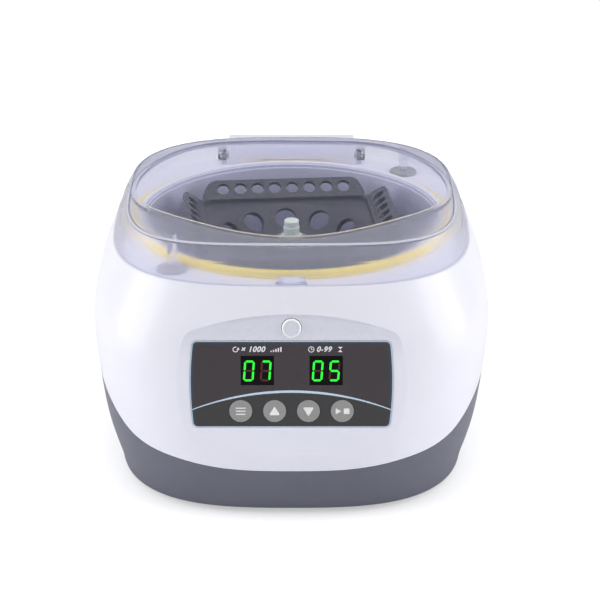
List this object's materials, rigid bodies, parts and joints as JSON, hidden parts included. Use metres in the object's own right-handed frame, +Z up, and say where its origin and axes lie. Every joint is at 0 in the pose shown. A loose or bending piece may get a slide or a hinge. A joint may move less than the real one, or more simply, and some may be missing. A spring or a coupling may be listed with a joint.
{
  "type": "laboratory centrifuge",
  "caption": "Compact bench centrifuge with a grey and white rounded-square housing, clear hinged lid, combination tube rotor, front keys and green digital displays.",
  "frame": {"origin": "centre of the footprint, on the plane the rubber feet stand on; the rotor spins about the vertical line through it", "axes": "+Z up, -Y towards the control panel, +X to the user's right"},
  "size_m": [0.1964, 0.2075, 0.1362],
  "materials": {
    "housing_white": "smooth moulded ABS, semi-gloss",
    "base_grey": "fine textured ABS",
    "clear_lid": "clear moulded polycarbonate, gloss",
    "latch_white": "satin acetal",
    "bowl_lavender": "painted, satin",
    "gasket_yellow": "soft silicone",
    "pad_rubber": "soft rubber",
    "foot_rubber": "matt rubber",
    "rotor_grey": "moulded nylon, satin",
    "knob_pale": "translucent pale green plastic",
    "aluminium": "turned",
    "steel": "zinc plated",
    "dark_steel": "black coated",
    "copper": "enamelled copper wire",
    "brass": "nickel-brass",
    "fascia_dark": "printed polycarbonate overlay",
    "key_grey": "translucent grey key cap",
    "display_black": "black LED module",
    "display_green": "lit LED bar",
    "display_dim": "unlit LED bar",
    "pcb_green": "solder mask",
    "black_plastic": "black nylon",
    "wire_red": "PVC insulation"
  },
  "bodies": {
    "housing": {"upper_housing": "housing_white", "base_housing": "base_grey", "rubber_feet": "foot_rubber", "housing_screws": "steel", "chamber_bowl": "bowl_lavender", "bowl_screws": "steel", "chamber_gasket": "gasket_yellow", "lid_bumper_pads": "pad_rubber", "hinge_pin": "steel", "hinge_springs": "steel", "latch_guide": "black_plastic", "latch_spring": "steel", "lid_switch": "black_plastic", "control_fascia": "fascia_dark", "display_speed": "display_black", "display_time": "display_black", "digit_segments_lit": "display_green", "digit_segments_unlit": "display_dim", "tact_switches": "black_plastic", "control_pcb": "pcb_green", "control_chips": "black_plastic", "pcb_screws": "steel", "motor_can": "dark_steel", "motor_end_cap": "black_plastic", "motor_bearings": "steel", "motor_stator": "steel", "motor_coils": "copper", "motor_mount_plate": "steel", "vibration_dampers": "foot_rubber", "damper_screws": "steel", "motor_screws": "steel", "shaft_boot": "foot_rubber", "power_board": "pcb_green", "board_screws": "steel", "transformer": "dark_steel", "capacitors": "black_plastic", "heat_sink": "aluminium", "board_connectors": "latch_white", "rear_panel": "black_plastic", "rear_panel_screws": "steel", "power_inlet": "black_plastic", "inlet_pins": "brass", "power_switch_body": "black_plastic", "wiring": "wire_red"},
    "lid": {"lid": "clear_lid", "latch_hook": "clear_lid"},
    "rotor": {"rotor": "rotor_grey", "rotor_hub": "aluminium", "motor_shaft": "steel", "motor_magnet": "dark_steel"},
    "rotor_knob": {"rotor_knob": "knob_pale"},
    "release_button": {"release_button": "housing_white"},
    "latch_slide": {"latch_slide": "latch_white", "latch_catch": "steel"},
    "key_set": {"key_set": "key_grey"},
    "key_up": {"key_up": "key_grey"},
    "key_down": {"key_down": "key_grey"},
    "key_start": {"key_start": "key_grey"},
    "power_rocker": {"power_rocker": "black_plastic"}
  },
  "joints": [
    {"name": "lid_hinge", "type": "hinge", "parent": "housing", "child": "lid", "pos_m": [0, 0.092, 0.118], "axis": [-1, 0, 0], "range_deg": [0, 95], "deforming": ["latch_catch"]},
    {"name": "rotor_spin", "type": "hinge", "parent": "housing", "child": "rotor", "pos_m": [0, 0, 0.09], "axis": [0, 0, 1], "continuous": true},
    {"name": "rotor_knob_turn", "type": "hinge", "parent": "rotor", "child": "rotor_knob", "pos_m": [0, 0, 0.11], "axis": [0, 0, 1], "continuous": true},
    {"name": "release_press", "type": "slide", "parent": "housing", "child": "release_button", "axis": [0, 0.989, -0.1478], "range_m": [0, 0.003]},
    {"name": "latch_slide_travel", "type": "slide", "parent": "housing", "child": "latch_slide", "axis": [0, 1, 0], "range_m": [0, 0.003], "deforming": ["latch_spring"]},
    {"name": "key_set_press", "type": "slide", "parent": "housing", "child": "key_set", "axis": [0, 0.989, -0.1478], "range_m": [0, 0.0005], "stiffness_N_per_m": 400},
    {"name": "key_up_press", "type": "slide", "parent": "housing", "child": "key_up", "axis": [0, 0.989, -0.1478], "range_m": [0, 0.0005], "stiffness_N_per_m": 400},
    {"name": "key_down_press", "type": "slide", "parent": "housing", "child": "key_down", "axis": [0, 0.989, -0.1478], "range_m": [0, 0.0005], "stiffness_N_per_m": 400},
    {"name": "key_start_press", "type": "slide", "parent": "housing", "child": "key_start", "axis": [0, 0.989, -0.1478], "range_m": [0, 0.0005], "stiffness_N_per_m": 400},
    {"name": "power_rocker_tilt", "type": "hinge", "parent": "housing", "child": "power_rocker", "pos_m": [0.02, 0.092, 0.031], "axis": [1, 0, 0], "range_deg": [-20, 0]}
  ],
  "couplings": [
    {"joint": "latch_slide_travel", "follows": "release_press", "ratio": 1}
  ]
}
